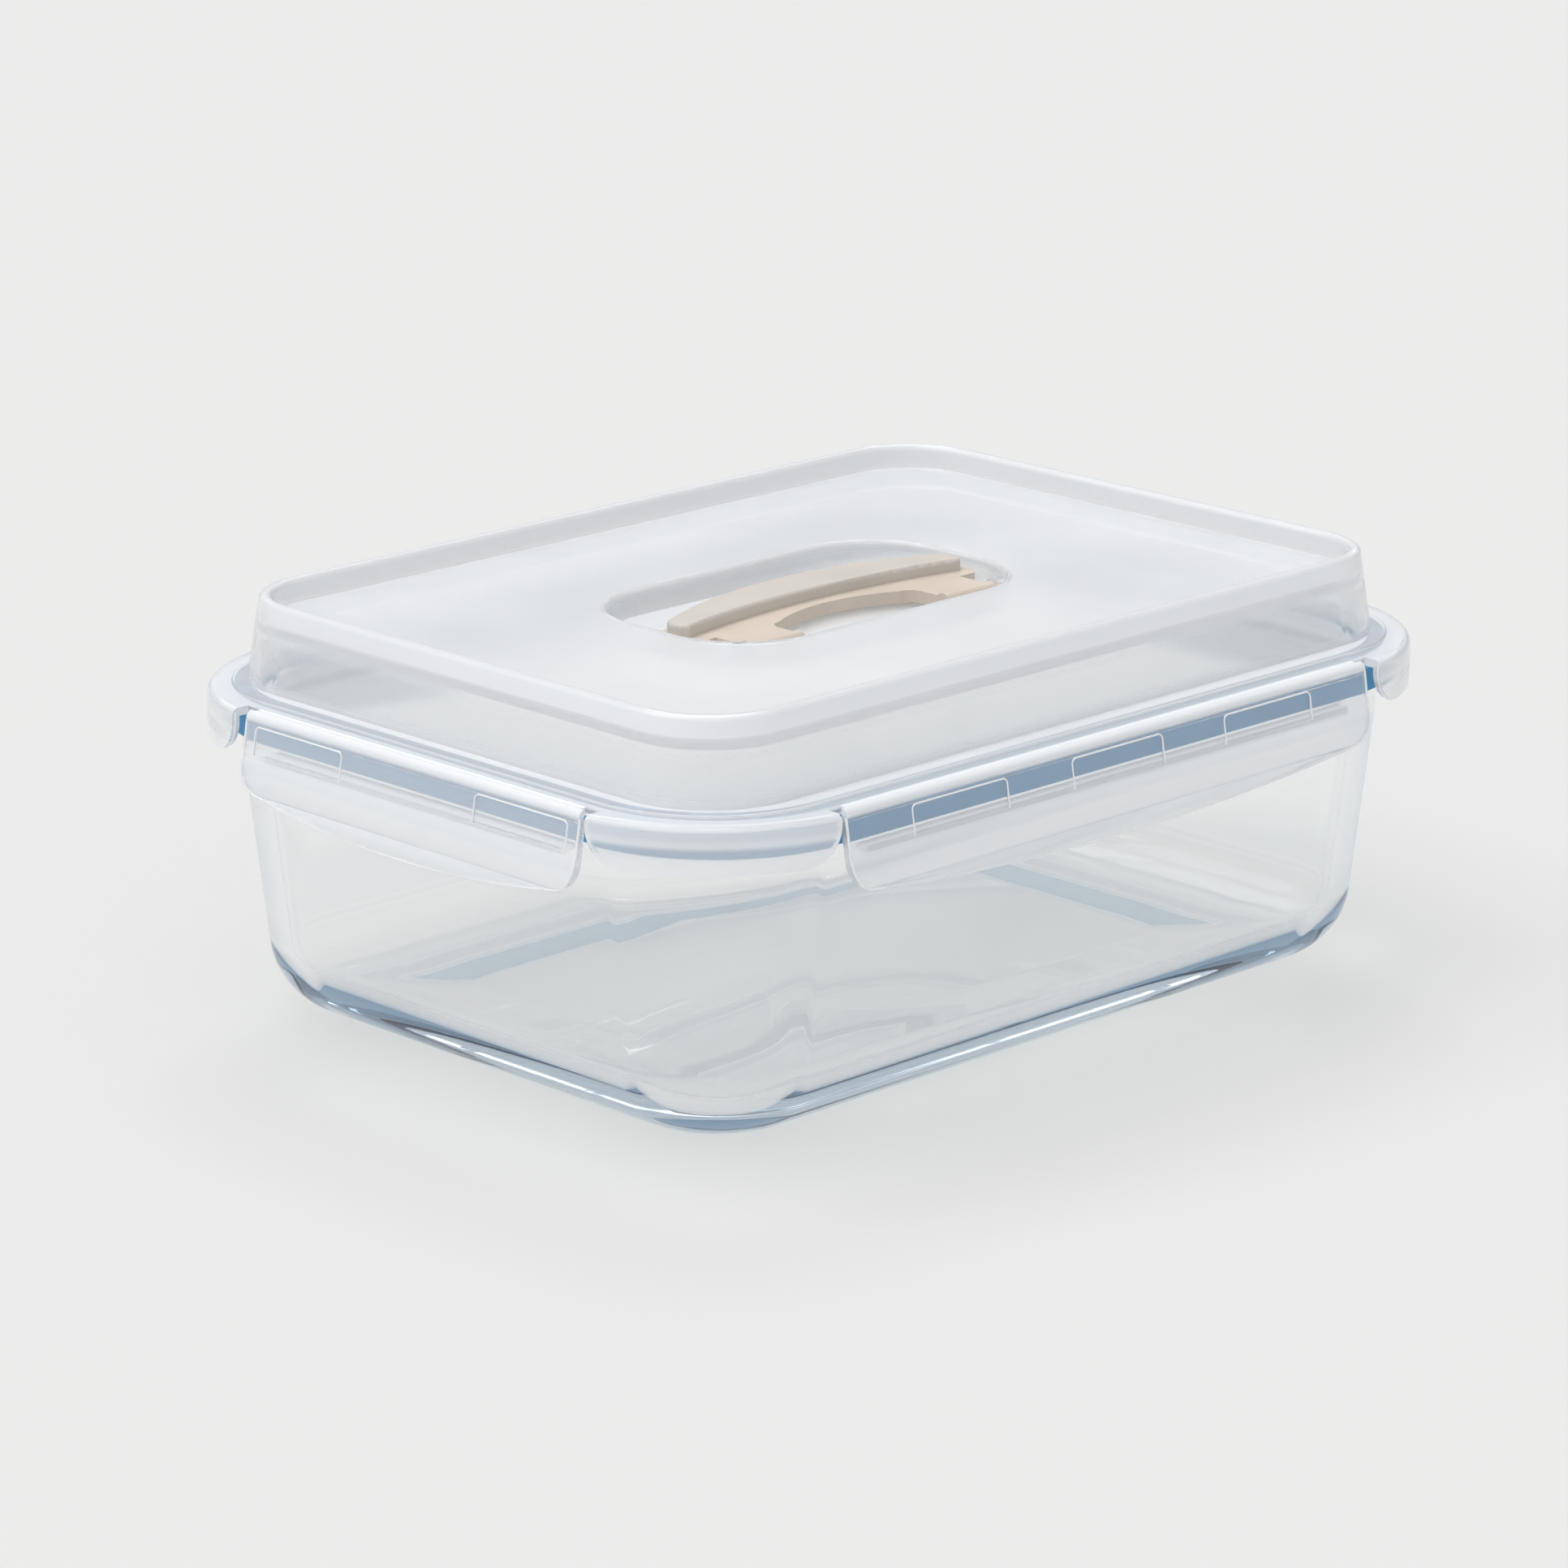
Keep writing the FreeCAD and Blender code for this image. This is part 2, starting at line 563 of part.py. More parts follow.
def snap_flap(label, half_width, pitch, count, catch_tip, place):
    """One flap: a shoulder that turns down from the hinge, a leaning panel whose lower half swells
    a little, a flared finger edge, a long catch that goes in under the glass lip, and sunk pads outside.
    catch_tip is how far the catch reaches inward from the hinge axis."""
    body = new_body(label)
    high_out, low_out = -S.flap_stand, -S.flap_stand - S.flap_lean
    face_top, lip_top = -S.flap_shoulder, S.flap_lip - S.flap_drop
    section = new_sketch(body, label + "_section", "YZ_Plane")
    shoulder = -S.hinge_gap - S.shoulder_run
    belly_part = (S.belly_top - S.flap_shoulder) / (S.flap_drop - S.flap_lip - S.flap_shoulder)
    outline(
        section, "section",
        [
            (-S.hinge_gap, 0),
            (shoulder, S.hinge_drop),
            (high_out, face_top),
            (high_out - S.flap_lean * belly_part, -S.belly_top),
            (low_out, lip_top),
            (low_out - S.flap_flare, -S.flap_drop),
            (low_out - S.flap_flare + S.flap_thick, -S.flap_drop),
            (low_out + S.flap_thick, lip_top),
            (high_out + S.flap_thick, face_top - S.flap_flare),
            (shoulder, -S.flap_knee),
            (-S.hinge_gap, -S.flap_root),
        ],
        bulges={1: S.shoulder_bulge, 3: S.belly_bulge, 4: S.edge_bulge, 6: -S.lip_hollow},
    )
    pad(body, section, label + "_panel", 2 * half_width, midplane=True)

    catch_root = high_out + S.flap_thick - S.flap_lean / 2
    catch = new_sketch(body, label + "_catch_section", "YZ_Plane")
    outline(
        catch, "catch",
        [
            (catch_root, -S.catch_top),
            (catch_root, -S.catch_top - S.catch_height),
            (catch_tip, -S.catch_top - S.catch_nose),
            (catch_tip - S.catch_chamfer, -S.catch_top),
        ],
    )
    pad(body, catch, label + "_catch", 2 * (half_width - S.catch_inset), midplane=True)

    pads = new_sketch(body, label + "_pads", "XZ_Plane")
    slope = math.degrees(math.atan2(S.flap_lean.value, (face_top - lip_top).value))
    pads.AttachmentOffset = Placement(Vector(), Rotation(Vector(1, 0, 0), -slope))
    bind(pads, "AttachmentOffset.Base.y", face_top)
    bind(pads, "AttachmentOffset.Base.z", S.flap_stand - S.pad_depth)
    for i in range(count):
        middle = (i - (count - 1) / 2) * pitch
        left, right = middle - S.pad_width / 2, middle + S.pad_width / 2
        rectangle(pads, f"pad{i}", left, -S.pad_top - S.pad_height, right, -S.pad_top)
    pocket(body, pads, label + "_sunk_pads", 2 * S.pad_depth, forward=True)

    foot, low = half_width - S.flap_corner, S.flap_bow - S.flap_drop
    corner = QUARTER_RISE * S.flap_corner
    trim = new_sketch(body, label + "_trim", "XZ_Plane")
    outline(
        trim, "edge",
        [
            (-half_width, S.hinge_drop + 1),
            (-half_width, low + S.flap_corner),
            (-foot, low),
            (foot, low),
            (half_width, low + S.flap_corner),
            (half_width, S.hinge_drop + 1),
        ],
        bulges={1: corner, 2: S.flap_bow, 3: corner},
    )
    rectangle(trim, "stock", -half_width - 6, -S.flap_drop - 6, half_width + 6, S.hinge_drop + 6)
    pocket(body, trim, label + "_outline", 20, midplane=True)
    body.Placement = place
    return body


def hinge_web(label, half_width, place):
    """The thin living hinge at the flange's edge, its nose round about the hinge axis."""
    body = new_body(label)
    half = S.web_thick / 2
    section = new_sketch(body, label + "_section", "YZ_Plane")
    outline(
        section, "web",
        [(0, -half), (S.hinge_gap, -half), (S.hinge_gap, half), (0, half)],
        bulges={3: HALF_RISE * half},
    )
    pad(body, section, label + "_strip", 2 * half_width - 2, midplane=True)
    body.Placement = place
    return body


# ---------------------------------------------------------------------- handle
def handle_bail():
    """The crescent of the handle with two broad arms, and a knuckle at the end of each arm."""
    body = new_body("handle_bail")
    half, arm, slot = S.grip_half, S.arm_half, S.arm_half - S.arm_width
    back_end, front_end = S.grip_back - S.grip_back_sag, S.grip_front - S.grip_front_sag
    turn = QUARTER_RISE * S.slot_round
    plan = new_sketch(body, "bail_plan", offset=BAIL_UNDER)
    outline(
        plan, "bail",
        [
            (-arm, S.pivot_y), (-slot, S.pivot_y),
            (-slot, front_end - S.slot_round), (S.slot_round - slot, front_end),
            (slot - S.slot_round, front_end), (slot, front_end - S.slot_round),
            (slot, S.pivot_y), (arm, S.pivot_y),
            (arm, front_end), (half, front_end), (half, back_end),
            (-half, back_end), (-half, front_end), (-arm, front_end),
        ],
        bulges={
            2: -turn, 3: -S.grip_front_sag, 4: -turn,
            9: S.grip_end_round, 10: S.grip_back_sag, 11: S.grip_end_round,
        },
    )
    pad(body, plan, "bail_plate", S.bail_thick)
    knuckle = new_sketch(body, "knuckle_end", "YZ_Plane", slot)
    circle_at(knuckle, "knuckle", S.pivot_y, PIVOT_Z, S.knuckle_radius)
    right = pad(body, knuckle, "knuckle_right", S.arm_width)
    mirror(body, right, "knuckles", "YZ_Plane")
    bore = new_sketch(body, "bail_bore", "YZ_Plane", arm - S.pin_bore)
    circle_at(bore, "bore", S.pivot_y, PIVOT_Z, S.pin_radius + S.pin_run)
    right = pocket(body, bore, "pin_bore", S.pin_bore + 1, forward=True)
    mirror(body, right, "pin_bores", "YZ_Plane")
    return body


def handle_grip_pad():
    """The soft crescent pad on top of the bail."""
    body = new_body("handle_grip_pad")
    half = S.grip_half - S.grip_pad_inset
    back_end = S.grip_back - S.grip_back_sag - S.grip_pad_inset
    front_end = S.grip_front - S.grip_front_sag + S.grip_pad_ledge
    plan = new_sketch(body, "grip_plan", offset=BAIL_UNDER + S.bail_thick)
    outline(
        plan, "grip",
        [(-half, front_end), (half, front_end), (half, back_end), (-half, back_end)],
        bulges={0: -S.grip_front_sag, 1: S.grip_end_round, 2: S.grip_back_sag, 3: S.grip_end_round},
    )
    pad(body, plan, "grip_plate", S.grip_pad_thick)
    top = BAIL_UNDER + S.bail_thick + S.grip_pad_thick
    fillet(body, "grip_round", S.grip_pad_round, lambda box: at_height(top, box))
    return body


def handle_pin(label, side):
    """A pin through the lug on one side (-1 left, 1 right) and into the arm's knuckle."""
    pin = doc.addObject("Part::Cylinder", label)
    pin.Label = label
    bind(pin, "Radius", S.pin_radius)
    bind(pin, "Height", S.pin_length)
    outer = S.arm_half + S.lug_gap + S.lug_thick + S.pin_proud
    start = Vector(outer.value * side, S.pivot_y.value, PIVOT_Z.value)
    pin.Placement = Placement(start, Rotation(Vector(0, 1, 0), -90 * side))
    return pin


def build():
    parts = [glass_dish(), lid_shell(), lid_seal()]
    lip_x, lip_y, _ = dish_outline(S.lip_reach - S.catch_reach)
    for side, turn, half_width, lid_half, lip_half, pitch, pads in (
        ("front", 0, S.long_flap_half, S.lid_half_y, lip_y, S.long_pad_pitch, 3),
        ("back", 180, S.long_flap_half, S.lid_half_y, lip_y, S.long_pad_pitch, 3),
        ("left", -90, S.short_flap_half, S.lid_half_x, lip_x, S.short_pad_pitch, 2),
        ("right", 90, S.short_flap_half, S.lid_half_x, lip_x, S.short_pad_pitch, 2),
    ):
        place = flap_place(turn, lid_half)
        catch_tip = lid_half - S.hinge_inset - lip_half
        parts.append(snap_flap("snap_flap_" + side, half_width, pitch, pads, catch_tip, place))
        parts.append(hinge_web("hinge_web_" + side, half_width, place))
    parts += [handle_bail(), handle_grip_pad()]
    parts += [handle_pin("handle_pin_left", -1), handle_pin("handle_pin_right", 1)]
    return parts


def write_parts(parts):
    for thing in doc.Objects:
        if "Invalid" in thing.State or "Error" in thing.State:
            raise RuntimeError(f"{thing.Name} is {thing.State}")
    os.makedirs("parts", exist_ok=True)
    for part in parts:
        shape = part.Shape
        if shape.isNull() or not shape.isValid() or len(shape.Solids) != 1:
            raise RuntimeError(f"{part.Label} is not one valid solid")
        shape.exportStep(f"parts/{part.Label}.step")
        box = shape.BoundBox
        print(
            f"{part.Label:18s} {shape.Volume / 1000:7.2f} cm3  x {box.XMin:7.2f} {box.XMax:7.2f}"
            f"  y {box.YMin:7.2f} {box.YMax:7.2f}  z {box.ZMin:6.2f} {box.ZMax:6.2f}"
        )


finished = build()
doc.recompute()
write_parts(finished)
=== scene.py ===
import json
import math

import bpy
from mathutils import Matrix, Vector


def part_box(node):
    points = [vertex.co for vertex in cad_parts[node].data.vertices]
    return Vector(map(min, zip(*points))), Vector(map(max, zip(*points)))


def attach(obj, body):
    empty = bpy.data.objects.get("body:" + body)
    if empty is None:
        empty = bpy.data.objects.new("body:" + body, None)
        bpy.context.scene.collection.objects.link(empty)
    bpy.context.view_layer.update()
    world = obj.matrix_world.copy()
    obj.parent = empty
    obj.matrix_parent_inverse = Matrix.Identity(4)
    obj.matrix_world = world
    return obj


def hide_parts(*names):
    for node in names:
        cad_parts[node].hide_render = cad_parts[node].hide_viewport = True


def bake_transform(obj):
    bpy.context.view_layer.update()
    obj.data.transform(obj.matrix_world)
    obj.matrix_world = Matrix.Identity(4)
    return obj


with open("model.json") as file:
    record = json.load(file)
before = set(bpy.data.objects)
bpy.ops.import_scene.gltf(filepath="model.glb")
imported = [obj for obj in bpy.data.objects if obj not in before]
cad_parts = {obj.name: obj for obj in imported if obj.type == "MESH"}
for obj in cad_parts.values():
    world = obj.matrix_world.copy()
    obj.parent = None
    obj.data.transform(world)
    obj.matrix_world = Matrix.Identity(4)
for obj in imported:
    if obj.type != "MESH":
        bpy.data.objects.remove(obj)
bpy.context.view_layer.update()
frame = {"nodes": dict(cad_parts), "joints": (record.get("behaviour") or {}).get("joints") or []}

MM = 0.001
NODES = frame["nodes"]
JOINTS = {joint["name"]: joint for joint in frame["joints"]}
SCENE = bpy.context.scene
SIDES = ("front", "back", "left", "right")

# glass dish, in millimetres: the same section as the CAD dish, with finer curves
DISH_DRAFT = math.tan(math.radians(6.4))
DISH_WALL = 4.2
DISH_BASE = 6.4
DISH_CORNER = 22.0
LEAST_CORNER = 6.0
OUTER_RINGS = (25, 35, 45)
INNER_RINGS = (50, 40, 30, 20)
DISH_LIP_HEIGHT = 3.8
DISH_LIP_REACH = 1.2
DISH_LIP_ROUND = 0.9
HEEL_ROUND = 15.0
FLOOR_ROUND = 9.0
FOOT_INSET = 23.0
FOOT_FLAT = 3.0
FOOT_DEPTH = 0.8
FOOT_SLOPE = 9.0
FOOT_STEPS = 8
LIP_FILLET = 0.2
CREASE = 0.05

# seal: outline offsets are from the glass wall's outside at the rim
SEAL_GAP = 0.3
SEAL_OUT = 2.2
SEAL_IN = -3.4
SEAL_SKIRT = 0.7
SEAL_CAP = 1.1
SEAL_BEAD_INSET = 1.7
SEAL_SOFTNESS = 0.3

# flaps, in each flap's own frame: the hinge axis is the origin, out is positive away from the lid
HINGE_GAP = 0.6
STRIP_THICK = 0.45
STRIP_GROOVE = 0.12
STRIP_TOP = 0.2
STRIP_INSET = 1.0
STRIP_OVER_FLANGE = 0.05
STRIP_OVER_FLAP = 0.25
STRIP_STEPS = 8
FACE_TOP = -2.0
FACE_TOP_OUT = 2.0
FACE_LOW = -14.8
BELLY_TOP = -8.3
BELLY_BULGE = 0.5
FACE_LOW_OUT = 4.0
LIP_LOW_OUT = 4.6
LIP_DROP = 3.2
LIP_PROUD = 0.05
EDGE_ABOVE_FACE = 0.6
FLAP_CORNER = 5.5
FLAP_BOW = 3.0
PAD_WIDTH = 24.2
PAD_TOP = 0.3
PAD_HEIGHT = 5.4
PAD_CORNER = 1.0
PAD_CENTRES = {"long": (-41.2, 0.0, 41.2), "short": (-30.2, 30.2)}
WINDOW_BEAD = 0.16
EDGE_BEAD = 0.26
SKIRT_BEAD = 0.24
SKIRT_BEAD_SINK = 0.05
EDGE_BEAD_SINK = 0.1

# lid
LID_CORNER = 38.5
SKIRT_TOP = 63.4
SKIRT_END_ROUND = 7.0
END_GAP = 2.6
BAIL_EDGE = 0.35
RECESS_MIDDLE = (0, 2.5, 71.6)
RECESS_REACH = (41, 24, 3.0)

# how clear the plastic is, from 0 to 1, against height: skirts, flange, dome wall, plate, rim
SHELL_CLEARNESS = (
    (55.2, 0.3), (57.3, 0.4), (58, 0.72), (59.4, 0.72),
    (60.3, 0.35), (61.6, 0.5), (65.2, 0.5), (66.5, 0.82),
    (73, 0.84), (74.4, 0.72), (76.5, 0.7), (77.4, 0.45), (80, 0.4), (81, 0.4),
)
RECESS_CLEARNESS = 0.62
# the same for the flaps: lip, lower half, the clearer stretch over the seal, hinge
FLAP_CLEARNESS = {
    "long": (
        (46, 0.55), (49, 0.66), (52, 0.64), (55, 0.56), (57, 0.56),
        (57.8, 0.88), (62.2, 0.88), (63, 0.3), (64.2, 0.2),
    ),
    "short": (
        (46, 0.55), (49, 0.64), (52, 0.6), (57, 0.5),
        (57.8, 0.72), (62.2, 0.74), (63, 0.3), (64.2, 0.2),
    ),
}
# milky plastic for the hinge strips and the beads; on the beads its white is also a painted highlight for
# the bright edge lines
MILKY_AND_HIGHLIGHT_CLEARNESS = ((40, 0.15), (90, 0.15))
SHELL_ROUGH = 0.1
FLAP_ROUGH = 0.08
MILKY_ROUGH = 0.18

# light: the suns' strength, their width and the way they are turned, in degrees
SUNS = {
    "soft_key": (1.24, 50, (-20, -22, 0)),
    "front_fill": (0.45, 60, (55, 0, -38)),
    "back_light": (0.5, 22, (40, 0, 135)),
}
# colour of the light that the studio gives, by the sine of its height above the horizon
HORIZON_TO_ZENITH = (
    (0.0, (0.8, 0.84, 0.87, 1)),
    (0.03, (0.76, 0.8, 0.84, 1)),
    (0.045, (0.12, 0.22, 0.34, 1)),
    (0.1, (0.42, 0.52, 0.62, 1)),
    (0.2, (0.88, 0.9, 0.92, 1)),
    (0.4, (0.97, 0.98, 0.98, 1)),
    (1.0, (1.0, 1.0, 1.0, 1)),
)
STUDIO_STRENGTH = 0.66
BACKDROP_STRENGTH = 0.84
FLOOR_REACH = 12.0
FLOOR_DROP = 0.0001


# ---------------------------------------------------------------------- camera
def add_camera():
    """A long lens looking down at the front left corner, at the photograph's angle."""
    azimuth = math.radians(-44.5)
    elevation = math.radians(16.39)
    distance = 1.16306
    side = -0.00637
    lift = 0.03679
    back = Vector((
        math.sin(azimuth) * math.cos(elevation),
        -math.cos(azimuth) * math.cos(elevation),
        math.sin(elevation),
    ))
    right = Vector((math.cos(azimuth), math.sin(azimuth), 0))
    up = back.cross(right)
    data = bpy.data.cameras.new("camera")
    data.sensor_width = 36
    data.lens = 138.31
    camera = bpy.data.objects.new("camera", data)
    SCENE.collection.objects.link(camera)
    turn = Matrix((right, up, back)).transposed().to_4x4()
    camera.matrix_world = Matrix.Translation(back * distance + right * side + up * lift) @ turn
    SCENE.camera = camera


# ------------------------------------------------------------- material helpers
def new_material(name):
    material = bpy.data.materials.new(name)
    material.use_nodes = True
    material.node_tree.nodes.clear()
    return material, material.node_tree.nodes, material.node_tree.links


def add_node(nodes, kind, **settings):
    node = nodes.new(kind)
    for key, value in settings.items():
        if key in node.inputs:
            node.inputs[key].default_value = value
        else:
            setattr(node, key, value)
    return node


def srgb(red, green, blue):
    """A linear colour from 0-255 display values."""
    def linear(c):
        c /= 255
        return c / 12.92 if c <= 0.04045 else ((c + 0.055) / 1.055) ** 2.4
    return (linear(red), linear(green), linear(blue), 1)


def noise(nodes, links, where, scale, detail=3.0, roughness=0.55):
    texture = add_node(nodes, "ShaderNodeTexNoise", Scale=scale, Detail=detail, Roughness=roughness)
    links.new(where, texture.inputs["Vector"])
    return texture.outputs["Fac"]


def remap(nodes, links, value, low, high, out_low, out_high):
    span = add_node(nodes, "ShaderNodeMapRange", clamp=True)
    links.new(value, span.inputs["Value"])
    for key, number in (("From Min", low), ("From Max", high), ("To Min", out_low), ("To Max", out_high)):
        span.inputs[key].default_value = number
    return span.outputs["Result"]


def fill_ramp(elements, stops):
    """Sets a colour ramp's elements to (position, colour) stops, from the first to the last."""
    for element, (position, colour) in ((elements[0], stops[0]), (elements[-1], stops[-1])):
        element.position = position
        element.color = colour
    for position, colour in stops[1:-1]:
        elements.new(position).color = colour


def ramp_along_z(nodes, links, where, stops):
    """A number that follows the height, given as (millimetres, number) stops."""
    split = nodes.new("ShaderNodeSeparateXYZ")
    links.new(where, split.inputs[0])
    low, high = stops[0][0], stops[-1][0]
    ramp = nodes.new("ShaderNodeValToRGB")
    links.new(remap(nodes, links, split.outputs["Z"], low * MM, high * MM, 0, 1), ramp.inputs["Fac"])
    fill_ramp(ramp.color_ramp.elements, [
        ((height - low) / (high - low), (number, number, number, 1)) for height, number in stops
    ])
    return ramp.outputs["Color"]


def mix_with_clear(nodes, links, share, surface, tint):
    """The surface, and by this share a see-through one of this tint."""
    clear = add_node(nodes, "ShaderNodeBsdfTransparent", Color=tint)
    mix = nodes.new("ShaderNodeMixShader")
    links.new(share, mix.inputs["Fac"])
    links.new(surface, mix.inputs[1])
    links.new(clear.outputs[0], mix.inputs[2])
    return mix.outputs[0]


def let_light_through(nodes, links, surface, tint, share):
    """Lamps and diffuse bounces pass straight through this share of the surface, so that what
    stands inside and behind it is lit."""
    path = nodes.new("ShaderNodeLightPath")
    either = add_node(nodes, "ShaderNodeMath", operation="MAXIMUM")
    links.new(path.outputs["Is Shadow Ray"], either.inputs[0])
    links.new(path.outputs["Is Diffuse Ray"], either.inputs[1])
    part = add_node(nodes, "ShaderNodeMath", operation="MULTIPLY")
    links.new(either.outputs[0], part.inputs[0])
    part.inputs[1].default_value = share
    return mix_with_clear(nodes, links, part.outputs[0], surface, tint)


def end_guided_light(nodes, links, surface, tint, bounces):
    """Light that has bounced this often inside thick glass comes out of it with this tint."""
    path = nodes.new("ShaderNodeLightPath")
    deep = add_node(nodes, "ShaderNodeMath", operation="GREATER_THAN")
    links.new(path.outputs["Glossy Depth"], deep.inputs[0])
    deep.inputs[1].default_value = bounces - 0.5
    return mix_with_clear(nodes, links, deep.outputs[0], surface, tint)


def bump(nodes, links, height, strength, distance):
    node = add_node(nodes, "ShaderNodeBump", Strength=strength, Distance=distance)
    links.new(height, node.inputs["Height"])
    return node.outputs["Normal"]


def glass_material():
    """Pressed glass: faint slow waves, a few duller patches where the mould touched it."""
    material, nodes, links = new_material("pressed_glass")
    where = nodes.new("ShaderNodeTexCoord").outputs["Object"]
    shader = add_node(
        nodes, "ShaderNodeBsdfPrincipled",
        **{"Base Color": (0.988, 0.992, 0.994, 1), "Transmission Weight": 1.0, "IOR": 1.5},
    )
    waves = noise(nodes, links, where, 16, 2)
    links.new(bump(nodes, links, waves, 0.03, 0.0006), shader.inputs["Normal"])
    dull = remap(nodes, links, noise(nodes, links, where, 90, 4), 0.4, 0.7, 0.0, 0.02)
    links.new(dull, shader.inputs["Roughness"])
    output = nodes.new("ShaderNodeOutputMaterial")
    body = end_guided_light(nodes, links, shader.outputs[0], (0.69, 0.785, 0.865, 1), 2)
    surface = let_light_through(nodes, links, body, (0.985, 0.99, 0.995, 1), 0.98)
    links.new(surface, output.inputs["Surface"])
    return material


def inside_box(nodes, links, where, middle, half):
    """1 inside an upright box about this middle, 0 outside, from sizes in millimetres."""
    inside = None
    split = nodes.new("ShaderNodeSeparateXYZ")
    links.new(where, split.inputs[0])
    for axis, centre, reach in zip("XYZ", middle, half):
        near = add_node(nodes, "ShaderNodeMath", operation="COMPARE")
        links.new(split.outputs[axis], near.inputs[0])
        near.inputs[1].default_value = centre * MM
        near.inputs[2].default_value = reach * MM
        if inside is None:
            inside = near.outputs[0]
            continue
        both = add_node(nodes, "ShaderNodeMath", operation="MULTIPLY")
        links.new(inside, both.inputs[0])
        links.new(near.outputs[0], both.inputs[1])
        inside = both.outputs[0]
    return inside


def polypropylene(name, clear_stops, rough, milky_box=None):
    """Moulded polypropylene, clear where it is thin and milky where it is thick: clear_stops
    gives the clearness along the height, and milky_box a middle, half sizes and a clearness."""
    material, nodes, links = new_material(name)
    where = nodes.new("ShaderNodeTexCoord").outputs["Object"]
    shader = add_node(
        nodes, "ShaderNodeBsdfPrincipled",
        **{"Base Color": srgb(243, 244, 246), "IOR": 1.45, "Specular IOR Level": 0.5},
    )
    clearness = ramp_along_z(nodes, links, where, clear_stops)
    if milky_box:
        middle, half, number = milky_box
        mix = add_node(nodes, "ShaderNodeMix", data_type="FLOAT")
        links.new(inside_box(nodes, links, where, middle, half), mix.inputs[0])
        links.new(clearness, mix.inputs[2])
        mix.inputs[3].default_value = number
        clearness = mix.outputs[0]
    links.new(clearness, shader.inputs["Transmission Weight"])
    grain = noise(nodes, links, where, 900, 3)
    cloud = noise(nodes, links, where, 35, 4)
    links.new(remap(nodes, links, cloud, 0.35, 0.7, rough * 0.75, rough * 1.4), shader.inputs["Roughness"])
    links.new(bump(nodes, links, grain, 0.03, 0.0001), shader.inputs["Normal"])
    output = nodes.new("ShaderNodeOutputMaterial")
    surface = let_light_through(nodes, links, shader.outputs[0], (0.985, 0.985, 0.985, 1), 0.9)
    links.new(surface, output.inputs["Surface"])
    return material


def solid_material(name, light, dark, rough, grain_scale, grain_depth, **settings):
    """An opaque plastic, silicone or metal with a little cloudiness and a fine grain."""
    material, nodes, links = new_material(name)
    where = nodes.new("ShaderNodeTexCoord").outputs["Object"]
    shader = add_node(nodes, "ShaderNodeBsdfPrincipled", **settings)
    cloud = noise(nodes, links, where, 60, 5)
    ramp = nodes.new("ShaderNodeValToRGB")
    links.new(remap(nodes, links, cloud, 0.3, 0.7, 0, 1), ramp.inputs["Fac"])
    ramp.color_ramp.elements[0].color = dark
    ramp.color_ramp.elements[1].color = light
    links.new(ramp.outputs["Color"], shader.inputs["Base Color"])
    links.new(remap(nodes, links, cloud, 0.3, 0.7, rough * 0.8, rough * 1.25), shader.inputs["Roughness"])
    grain = noise(nodes, links, where, grain_scale, 2)
    links.new(bump(nodes, links, grain, 0.4, grain_depth), shader.inputs["Normal"])
    output = nodes.new("ShaderNodeOutputMaterial")
    links.new(shader.outputs[0], output.inputs["Surface"])
    return material


def paint(name, material):
    piece = NODES[name]
    piece.data.materials.clear()
    piece.data.materials.append(material)


def soften_edges(name, width):
    """Rounds the edges of a moulded CAD part, as a modifier."""
    bevel = NODES[name].modifiers.new("soft_edges", "BEVEL")
    bevel.width = width * MM
    bevel.segments = 3
    bevel.limit_method = "ANGLE"
    bevel.angle_limit = math.radians(50)
    bevel.harden_normals = True


# ----------------------------------------------------------------- mesh helpers
def rounded_ring(half_x, half_y, corner, z, steps=14):
    """Points of a rounded rectangle in metres, anticlockwise, from sizes in millimetres."""
    points = []
    for turn, (side_x, side_y) in enumerate(((1, -1), (1, 1), (-1, 1), (-1, -1))):
        centre_x, centre_y = side_x * (half_x - corner), side_y * (half_y - corner)
        for i in range(steps + 1):
            angle = math.radians(90 * (turn - 1 + i / steps))
            points.append((
                (centre_x + corner * math.cos(angle)) * MM,
                (centre_y + corner * math.sin(angle)) * MM,
                z * MM,
            ))
    return points


def arc(centre, radius, start, end, steps=8):
    """Points of an arc in the plane, with the angles in degrees."""
    angles = [math.radians(start + (end - start) * i / steps) for i in range(steps + 1)]
    return [(centre[0] + radius * math.cos(a), centre[1] + radius * math.sin(a)) for a in angles]


def round_corners(points, radius, steps=4):
    """A closed outline with each of its corners turned into a curve."""
    rounded = []
    for i, corner in enumerate(points):
        corner = Vector(corner)
        before, after = Vector(points[i - 1]), Vector(points[(i + 1) % len(points)])
        start = corner + (before - corner).normalized() * min(radius, (before - corner).length * 0.45)
        end = corner + (after - corner).normalized() * min(radius, (after - corner).length * 0.45)
        for j in range(steps + 1):
            part = j / steps
            rounded.append(tuple(start.lerp(corner, part).lerp(corner.lerp(end, part), part)))
    return rounded


def loft(name, rings, material, loop=False, sharp=35):
    """A surface through the rings of points. With loop the last ring joins the first, and
    otherwise a face closes each end."""
    count = len(rings[0])
    points = [point for ring in rings for point in ring]
    faces = []
    for j in range(len(rings) if loop else len(rings) - 1):
        here = j * count
        there = (j + 1) % len(rings) * count
        for i in range(count):
            k = (i + 1) % count
            faces.append((here + i, here + k, there + k, there + i))
    if not loop:
        last = (len(rings) - 1) * count
        faces.append(tuple(reversed(range(count))))
        faces.append(tuple(range(last, last + count)))
    mesh = bpy.data.meshes.new(name)
    mesh.from_pydata(points, [], faces)
    mesh.shade_smooth()
    mesh.set_sharp_from_angle(angle=math.radians(sharp))
    mesh.materials.append(material)
    piece = bpy.data.objects.new(name, mesh)
    SCENE.collection.objects.link(piece)
    return piece


